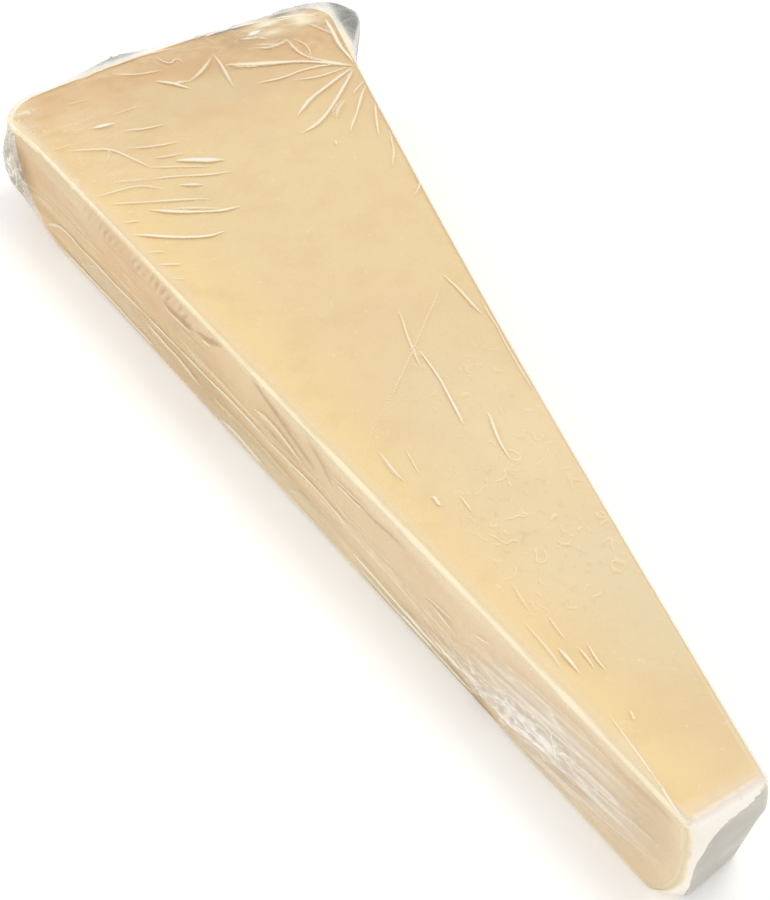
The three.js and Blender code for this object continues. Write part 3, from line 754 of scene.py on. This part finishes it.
def edge_milk_and_glint(points, normals):
    """The pale lines of film that bridge the two long top edges, partly a painted highlight on their
    rounding, and the whitish film over the tip.
    """
    u, v, z = np.moveaxis(points, -1, 0)
    up = normals[..., 2]
    rise = THICKNESS - z - 0.6 * smooth(-u, -1, 1)
    uneven = clouds(at(u / 5, u * 0), 95)
    by_corner = smooth(u, 128, 142) * smooth(164 - u, 0, 8)
    top_reach = 0.55 + 0.1 * uneven + (0.9 + 0.4 * uneven) * by_corner
    wall_reach = blend(0.8, 0.6, smooth(u, 60, 110)) + 0.1 * uneven
    near = np.hypot((half_width(u) - v) / top_reach, rise / wall_reach)
    hairs = noise(at((u + 0.5 * v) / 0.9, v / 4), 99)
    soft = by_corner * smooth(up, 0.5, 0.9)
    near = near * (1 + 0.2 * by_corner * hairs)
    line = 1 - smooth(near, 0.6 - 0.5 * soft, 1.4 + 0.5 * soft)
    line = line * blend(1.12, 1, smooth(u, 70, 120)) * (1 - 0.2 * soft)
    tail = np.hypot((half_width(u) - v) / 3.4, rise / blend(3.2, 1.2, smooth(u, 75, 100)))
    tail = 0.5 * (1 - smooth(tail, 0.3, 1)) * smooth(u, 2, 10)
    line = np.maximum(line, tail * smooth(164 - u, 0, 8))
    hollow = FAR_SIDE_HOLLOW * np.sin(np.pi * unit(u / LENGTH))
    far = np.hypot(half_width(u) + v - hollow, rise)
    line = np.maximum(line, 0.8 * (1 - smooth(far, 0.35, 0.8)) * smooth(164 - u, 0, 6))
    band = smooth(v, 5.2, 5.5) * smooth(u, 16, 12) * smooth(up, 0.3, 0.7)
    line = np.maximum(line, 0.6 * band)
    wavy = 0.15 * clouds(at(v / 3, z / 4), 96)
    depth = u - tip_set_back(z, np.clip(v / half_width(0), -1, 1)) + wavy
    facing_near = smooth(normals[..., 1], 0.3, 0.7)
    white = 1.08 * (1 - smooth(depth, blend(0, 0.75, facing_near), blend(2, 1.15, facing_near)))
    strip = 0.5 * (1 - smooth(depth - 0.5 * smooth(z, 11, 15), 1.7, 2.2)) * facing_near
    return np.maximum(np.maximum(line, white), np.maximum(strip, 0.4 * (1 - smooth(depth, 0.5, 5))))


# Heights on the tip's end, and how far towards the near side its flat facet reaches at each
TIP_FACET_BORDER = (
    (0, 2.4, 5, 8.5, 11, 12.6, 14, 15.5, 16.2, 16.8, 17.2, 17.5, 17.9),
    (3.2, 3.6, 4.2, 4.7, 4.75, 4.6, 4.1, 3.6, 2.9, 1.9, 0.7, -2, -3.8),
)
FACET_TOP = 18.1


def tip_facet(points):
    """1 inside the flat facet on the tip's end, where the film is painted grey as painted shade of the end
    face and painted reflection of grey surroundings, with a crisp border.
    """
    u, v, z = np.moveaxis(points, -1, 0)
    border = np.interp(z, *TIP_FACET_BORDER)
    return smooth(border - v, 0, 0.3) * smooth(5 - u, 0, 0.4) * smooth(FACET_TOP - z, 0, 0.2)


FILM = Form(
    gap=0, edge_radius=FILM_EDGE_RADIUS, wall_step=0.21, edge_steps=5,
    along_shares=np.concatenate([np.linspace(0, 0.6, 230)[:-1], np.linspace(0.6, 1, 310)]),
    across_shares=np.linspace(0, 1, 168),
)
CHEESE = Form(
    gap=FILM_GAP, edge_radius=CHEESE_EDGE_RADIUS, wall_step=0.6, edge_steps=4,
    along_shares=np.linspace(0, 1, 300), across_shares=np.linspace(0, 1, 92),
)


def patches(form):
    """Name, points, normals and winding of each of a form's six patches."""
    for side in SIDES:
        points, normals = form.wall(side)
        yield side, points, normals, side in ("near", "tip")
    for upper in (True, False):
        points, normals = form.face(upper)
        yield "top" if upper else "under", points, normals, not upper


def every_second(grid):
    """Every second row and column of a grid, with its last ones."""
    rows, columns = (np.append(np.arange(0, count - 1, 2), count - 1) for count in grid.shape[:2])
    return grid[rows][:, columns]


def surface(points, normals, relief, flip):
    """Points and faces of a grid raised by its relief, in the part's frame. None is under the table."""
    raised = points + normals * relief[..., None]
    raised[..., 2] = np.maximum(raised[..., 2], 0)
    return to_part(*np.moveaxis(raised, -1, 0)).reshape(-1, 3), grid_faces(*relief.shape, flip)


def film_pieces():
    names = {"near": "near_side", "far": "far_side", "rind": "rind_end", "under": "underside"}
    made = []
    for face, points, normals, flip in patches(FILM):
        if face == "under":
            points, normals = every_second(points), every_second(normals)
        height, values = film_relief(points, normals)
        facet = tip_facet(points) if face == "tip" else np.zeros(height.shape)
        milk_and_glint = np.maximum(values["milk_and_glint"], edge_milk_and_glint(points, normals))
        values["milk_and_glint"] = np.clip(milk_and_glint, 0, MOST_MILK_AND_GLINT) * (1 - facet)
        values["shade"] = unit(values["shade"])
        values["facet"] = facet
        name = "film_" + names.get(face, face)
        made.append(mesh_object(name, *surface(points, normals, height, flip), values))
    return made


def cheese_piece():
    """The cheese as one mesh, with how far each point lies in the rind's colour and on the rind."""
    points_of, quads_of, values_of = [], [], []
    count = 0
    for face, points, normals, flip in patches(CHEESE):
        u, v, z = np.moveaxis(points, -1, 0)
        depth = rind_line(v) - rind_set_back(z) - FILM_GAP - u
        on_rind = smooth(normals[..., 0], 0.25, 0.6) if face == "rind" else np.zeros(u.shape)
        on_rind = np.maximum(on_rind, smooth(1.6 - depth, 0, 1.2))
        wavy = 2.2 * clouds(at(u / 7, v / 9, z / 7), 101)
        tan = 0.55 * smooth(14 - depth + wavy - 0.1 * v, 0, 6)
        tan = tan + 0.45 * smooth(33 - depth + wavy, 0, 13)
        if face in ("near", "far"):
            tan = np.maximum(tan, 0.42 * smooth(u, 60, 110))
            for strength, centre, reach in ((0.75, (150, 14.5), (13, 5)), (0.85, (124, 11), (15, 6))):
                tan = np.maximum(tan, strength * zone(u + 0.8 * wavy, z, centre, reach))
        pale = smooth(100 - u, 0, 50)
        if face == "top":
            tan = tan * (1 - 0.5 * zone(u, v, (146, 18), (14, 9)))
            pale = 0.42 * zone(u, v, (52, -5), (32, 13))
        grain = clouds(points / 1.3, 102)
        pits = unit(clouds(points / (2.4, 1.6, 1.6), 103) - 0.25)
        scores = ridges(at(v / 30, z / 0.9), 104) ** 4
        relief = 0.05 * grain - on_rind * (0.5 * pits + 0.16 * scores)
        places, quads = surface(points, normals, relief, flip)
        points_of.append(places)
        quads_of.append(quads + count)
        count += len(places)
        by_tip = gauss(u, 4)
        up = normals[..., 2]
        by_edge = np.maximum(gauss(half_width(u) - v, 9) * smooth(up, 0.2, 0.8), 0.9 * by_tip)
        values_of.append({
            "rind": on_rind, "tan": tan, "brown": zone(u + 0.5 * wavy, v, (163, -14), (5, 9)),
            "pale": pale, "side": (1 - np.abs(up)) * (1 - 0.8 * by_tip), "near_edge": by_edge,
        })
    values = {key: np.concatenate([one[key].ravel() for one in values_of]) for key in values_of[0]}
    piece = mesh_object("cheese", np.concatenate(points_of), np.concatenate(quads_of), values)
    modifier = piece.modifiers.new("joined", "WELD")
    modifier.merge_threshold = WELD_DISTANCE * MM
    return piece


# Materials


class Nodes:
    """Short names for building a node material."""

    def __init__(self, name):
        self.material = bpy.data.materials.new(name)
        self.material.use_nodes = True
        self.tree = self.material.node_tree
        self.tree.nodes.clear()

    def add(self, kind, inputs=None, **settings):
        node = self.tree.nodes.new("ShaderNode" + kind)
        for key, value in settings.items():
            setattr(node, key, value)
        for key, value in (inputs or {}).items():
            if isinstance(value, bpy.types.NodeSocket):
                self.tree.links.new(value, node.inputs[key])
            else:
                node.inputs[key].default_value = value
        return node

    def value(self, name):
        return self.add("Attribute", attribute_name=name).outputs["Fac"]

    def maths(self, operation, a, b=0.0, clamp=False):
        return self.add("Math", {0: a, 1: b}, operation=operation, use_clamp=clamp).outputs[0]

    def times(self, a, b, clamp=False):
        return self.maths("MULTIPLY", a, b, clamp)

    def plus(self, a, b):
        return self.maths("ADD", a, b)

    def larger(self, a, b):
        return self.maths("MAXIMUM", a, b)

    def apart(self, a, b):
        """How far two values lie from each other."""
        return self.maths("ABSOLUTE", self.maths("SUBTRACT", a, b))

    def mix(self, share, a, b):
        return self.add("Mix", {0: share, 6: a, 7: b}, data_type="RGBA").outputs[2]

    def mix_shaders(self, share, a, b):
        return self.add("MixShader", {0: share, 1: a, 2: b}).outputs[0]

    def noise(self, grain, detail=3.0, stretch=(1, 1, 1)):
        """Noise from 0 to 1 with features of about grain millimetres."""
        if not hasattr(self, "coordinates"):
            self.coordinates = self.add("TexCoord").outputs["Object"]
        scale = [1000 / grain * s for s in stretch]
        scaled = self.add("Mapping", {"Vector": self.coordinates, "Scale": scale}).outputs[0]
        return self.add("TexNoise", {"Vector": scaled, "Scale": 1.0, "Detail": detail}).outputs["Fac"]

    def ramp(self, value, low, high):
        inputs = {"Value": value, "From Min": low, "From Max": high}
        return self.add("MapRange", inputs, interpolation_type="SMOOTHSTEP").outputs[0]

    def patchy(self, grain, detail, low, high):
        """1 in patches of about grain millimetres, falling to 0 around them."""
        return self.ramp(self.noise(grain, detail), low, high)

    def bump(self, height, strength):
        inputs = {"Height": height, "Strength": strength, "Distance": BUMP_DEPTH * MM}
        return self.add("Bump", inputs).outputs[0]

    def finish(self, shader):
        self.add("OutputMaterial", {"Surface": shader})
        return self.material


def srgb(red, green, blue):
    """A colour as seen, from 0 to 255, in the linear values that a shader takes."""
    linear = [((c / 255 + 0.055) / 1.055) ** 2.4 for c in (red, green, blue)]
    return (*linear, 1.0)


def cheese_material():
    n = Nodes("cheese_paste")
    warm, beige, cool = srgb(237, 211, 160), srgb(231, 202, 157), srgb(229, 209, 165)
    paste = n.mix(n.patchy(38, 2.0, 0.4, 0.62), warm, beige)
    paste = n.mix(n.patchy(27, 3.0, 0.5, 0.7), paste, cool)
    paste = n.mix(n.value("near_edge"), paste, srgb(245, 217, 157))
    mottle = n.times(n.patchy(5, 4.0, 0.45, 0.7), 0.35)
    paste = n.mix(mottle, paste, srgb(228, 197, 144))
    flecks = n.times(n.patchy(0.9, 2.0, 0.68, 0.76), 0.35)
    paste = n.mix(flecks, paste, srgb(250, 238, 208))
    pale = n.value("pale")
    paste = n.mix(pale, paste, srgb(242, 222, 184))
    streaks = n.ramp(n.noise(16, 3.0, (0.4, 1, 1)), 0.4, 0.65)
    side = n.mix(streaks, srgb(234, 206, 155), srgb(226, 196, 143))
    side = n.mix(pale, side, n.mix(streaks, srgb(236, 209, 168), srgb(228, 199, 157)))
    paste = n.mix(n.times(n.value("side"), 0.85), paste, side)
    tan = n.mix(n.patchy(9, 4.0, 0.35, 0.65), srgb(228, 190, 137), srgb(218, 175, 122))
    brown = n.times(n.value("brown"), n.patchy(4, 3.0, 0.2, 0.7))
    tan = n.mix(n.times(brown, 0.8), tan, srgb(200, 164, 116))
    tan_share = n.times(n.value("tan"), n.patchy(6, 4.0, 0.1, 0.6))
    paste = n.mix(n.times(tan_share, 0.85), paste, tan)
    crust = n.mix(n.patchy(7, 4.0, 0.35, 0.7), srgb(214, 172, 112), srgb(190, 144, 86))
    crust = n.mix(n.patchy(0.9, 3.0, 0.62, 0.8), crust, srgb(150, 108, 64))
    colour = n.mix(n.value("rind"), paste, crust)
    grain = n.bump(n.noise(0.45, 4.0), 0.25)
    roughness = n.patchy(3, 3.0, -0.6, 1.6)
    return n.finish(n.add("BsdfPrincipled", {
        "Base Color": colour, "Roughness": roughness, "Normal": grain, "Specular IOR Level": 0.35,
    }).outputs[0])


def film_material():
    n = Nodes("clear_film")
    names = ("milk_and_glint", "shade", "slack", "facet", "frost", "cling", "crease", "crease_tone", "crease_side")
    milk_and_glint, shade, slack, facet, frost, cling, crease, tone, side = (n.value(name) for name in names)

    # Painted highlights along light creases, painted shade along dark ones, and painted shade beside a
    # light one
    core = n.ramp(n.apart(side, -0.3), 0.9, 0.0)
    on_line = n.times(n.ramp(n.maths("ABSOLUTE", side), 1.6, 0.2), n.ramp(crease, 2.4, 1.3))
    on_line = n.times(on_line, n.plus(n.times(core, 0.6), 1.0))
    light_line = n.times(on_line, n.larger(tone, 0.0))
    darkness = n.larger(n.times(tone, -0.8), 0.0)
    dark_line = n.times(n.ramp(crease, 2.3, 0.3), darkness)
    lee = n.times(n.ramp(n.apart(side, 1.8), 0.9, 0.2), n.ramp(crease, 2.8, 1.9))
    lee = n.times(lee, n.larger(n.times(tone, 0.12), 0.0))

    # Small curled marks where the film lets go of the cheese
    curl = n.apart(n.noise(2.1, 1.0), 0.47)
    curls = n.times(n.ramp(curl, 0.035, 0.008), n.ramp(n.noise(1.7, 1.0, (1, 1.3, 1)), 0.5, 0.62))
    curls = n.times(curls, cling)
    glow = n.apart(n.noise(2.6, 1.0), 0.53)
    glows = n.times(n.ramp(glow, 0.04, 0.01), n.patchy(2.2, 1.0, 0.52, 0.64))
    glows = n.times(n.times(glows, cling), 0.5)

    shade = n.larger(n.larger(shade, dark_line), lee)
    shade = n.larger(shade, n.times(curls, 0.15))
    milk_and_glint = n.larger(n.larger(milk_and_glint, light_line), glows)
    # Painted shade: the clear film is tinted brown over the cheese, and where it hangs loose it turns from
    # the grey of its layers towards a darker grey
    tint = n.mix(n.times(shade, 0.52, clamp=True), (1, 1, 1, 1), srgb(164, 143, 113))
    grey = n.mix(shade, srgb(208, 209, 204), srgb(134, 134, 127))
    tint = n.mix(slack, tint, grey)
    clear = n.add("BsdfTransparent", {"Color": tint}).outputs[0]
    # The whitish colour of the milkiness also serves for the painted highlights on creases, folds and edges
    milky_and_glinting = n.mix(n.ramp(milk_and_glint, 1.05, 1.5), srgb(255, 241, 205), srgb(255, 252, 242))
    milky_and_glinting = n.mix(frost, milky_and_glinting, srgb(250, 243, 232))
    milky_and_glinting = n.mix(slack, milky_and_glinting, srgb(240, 242, 240))
    cloudy_and_glinting = n.add("BsdfDiffuse", {"Color": milky_and_glinting}).outputs[0]
    cloudiness_and_glint = n.times(milk_and_glint, n.patchy(0.7, 2.0, -0.6, 0.45), clamp=True)
    sheet = n.mix_shaders(cloudiness_and_glint, clear, cloudy_and_glinting)
    # Painted shade and painted reflection: a flat grey over the tip's facet stands for its end face in
    # shade, reflecting grey
    facet_shade_tone = n.mix(n.patchy(7, 2.0, 0.35, 0.65), srgb(215, 212, 203), srgb(204, 200, 191))
    facet_shade = n.add("BsdfDiffuse", {"Color": facet_shade_tone}).outputs[0]
    sheet = n.mix_shaders(n.times(facet, 0.9), sheet, facet_shade)

    # The sheen, alike for both faces of the film, and stronger along creases and where it is loose
    wrinkle = n.bump(n.noise(1.6, 3.0), 0.2)
    gloss = n.add("BsdfGlossy", {"Roughness": 0.11, "Normal": wrinkle}).outputs[0]
    facing = n.add("LayerWeight", {"Blend": 0.5, "Normal": wrinkle}).outputs["Facing"]
    mirror = n.plus(n.times(n.maths("POWER", facing, 5.0), 0.5), 0.055)
    mirror = n.plus(mirror, n.times(n.larger(light_line, slack), 0.13))
    mirror = n.times(mirror, n.maths("SUBTRACT", 1.0, n.times(frost, 0.75)))
    return n.finish(n.mix_shaders(mirror, sheet, gloss))


def floor_material():
    n = Nodes("pale_table")
    tone = n.mix(n.noise(60, 3.0), (0.965, 0.965, 0.965, 1), (0.98, 0.98, 0.98, 1))
    return n.finish(n.add("BsdfPrincipled", {
        "Base Color": tone, "Roughness": 0.8, "Specular IOR Level": 0.1, "Emission Color": tone,
        "Emission Strength": 0.12,
    }).outputs[0])


# The camera stands at these angles and this distance from the point that it looks at
CAMERA_TARGET = Vector((10.358, -6.345, 9.35)) * MM
CAMERA_AZIMUTH = 65.36
CAMERA_ELEVATION = 44.49
CAMERA_DISTANCE = 253.54 * MM
CAMERA_ROLL = -2.157
CAMERA_LENS = 74.85
CAMERA_SENSOR = 36
CAMERA_CLIP = (0.01, 20)
FLOOR_REACH = 3.0
BACKGROUND_COLOUR = (1, 0.998, 0.995, 1)
BACKGROUND_STRENGTH = 0.8
# Azimuth, elevation, distance in metres, size in metres, power in watts and colour
LAMPS = {
    "key": (165, 72, 0.7, 0.22, 1.15, (1, 0.98, 0.95)),
    "window": (305, 24, 0.8, 0.25, 0.7, (0.97, 0.98, 1)),
    "lamp": (32, 20, 0.9, 0.2, 0.25, (1, 1, 1)),
}


def seen_from(azimuth, elevation):
    """The direction from the wedge to a place seen at these angles, in degrees, and the turn back."""
    a, e = math.radians(azimuth), math.radians(elevation)
    back = Vector((math.sin(a) * math.cos(e), -math.cos(a) * math.cos(e), math.sin(e)))
    return back, (-back).to_track_quat("-Z", "Y").to_matrix().to_4x4()


def make_camera():
    back, turn = seen_from(CAMERA_AZIMUTH, CAMERA_ELEVATION)
    data = bpy.data.cameras.new("camera")
    data.lens = CAMERA_LENS
    data.sensor_width = CAMERA_SENSOR
    data.clip_start, data.clip_end = CAMERA_CLIP
    camera = new_object("camera", data)
    roll = Matrix.Rotation(math.radians(CAMERA_ROLL), 4, "Z")
    camera.matrix_world = Matrix.Translation(CAMERA_TARGET + back * CAMERA_DISTANCE) @ turn @ roll
    bpy.context.scene.camera = camera


def add_light(name, azimuth, elevation, distance, size, power, colour):
    """A soft square lamp that faces the wedge, placed like the camera."""
    back, turn = seen_from(azimuth, elevation)
    data = bpy.data.lights.new(name, "AREA")
    data.size = size
    data.energy = power
    data.color = colour
    new_object(name, data).matrix_world = Matrix.Translation(back * distance) @ turn


def make_studio():
    world = bpy.data.worlds.new("studio")
    world.use_nodes = True
    background = world.node_tree.nodes["Background"]
    background.inputs["Color"].default_value = BACKGROUND_COLOUR
    background.inputs["Strength"].default_value = BACKGROUND_STRENGTH
    bpy.context.scene.world = world
    for name, settings in LAMPS.items():
        add_light(name, *settings)
    floor_mesh = bpy.data.meshes.new("floor")
    corners = [(FLOOR_REACH * x, FLOOR_REACH * y, 0) for x, y in ((-1, -1), (1, -1), (1, 1), (-1, 1))]
    floor_mesh.from_pydata(corners, [], [(0, 1, 2, 3)])
    floor = new_object("floor", floor_mesh)
    floor_mesh.materials.append(floor_material())
    bpy.context.scene.view_settings.view_transform = "Standard"


make_camera()
make_studio()

cheese = cheese_piece()
cheese.data.materials.append(cheese_material())
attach(cheese, "root")
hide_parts("wrapped_wedge")

clear_film = film_material()
for film in film_pieces():
    film.data.materials.append(clear_film)
    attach(film, "root")
    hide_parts("wrapped_wedge")
